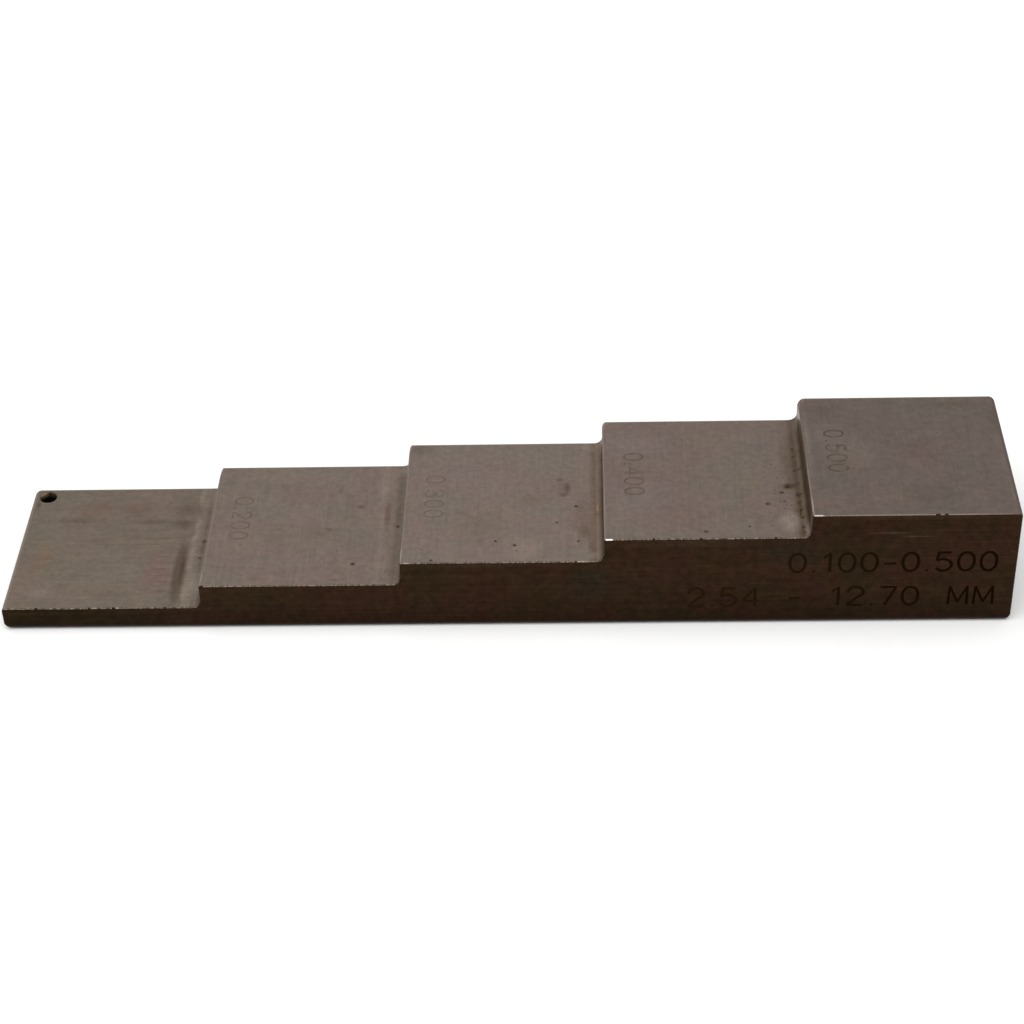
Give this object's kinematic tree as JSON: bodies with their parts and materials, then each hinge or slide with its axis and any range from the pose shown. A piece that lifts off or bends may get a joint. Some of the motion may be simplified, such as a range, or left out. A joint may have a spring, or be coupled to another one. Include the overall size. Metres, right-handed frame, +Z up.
{
  "type": "thickness calibration block",
  "caption": "Stepped steel bar with a stair of flat treads at known heights above its base, for checking thickness gauges, with a small corner hole.",
  "frame": {"origin": "middle of the base, on the surface the block stands on", "axes": "+X along the block from the thinnest step to the thickest, +Y from the lettered side to the back, +Z up from the base to the treads"},
  "size_m": [0.0952, 0.019, 0.0127],
  "materials": {
    "ground_steel": "ground treads with an aged grey-brown patina, darker brown sides, light handling wear"
  },
  "bodies": {
    "root": {"step_block": "ground_steel"}
  },
  "joints": []
}
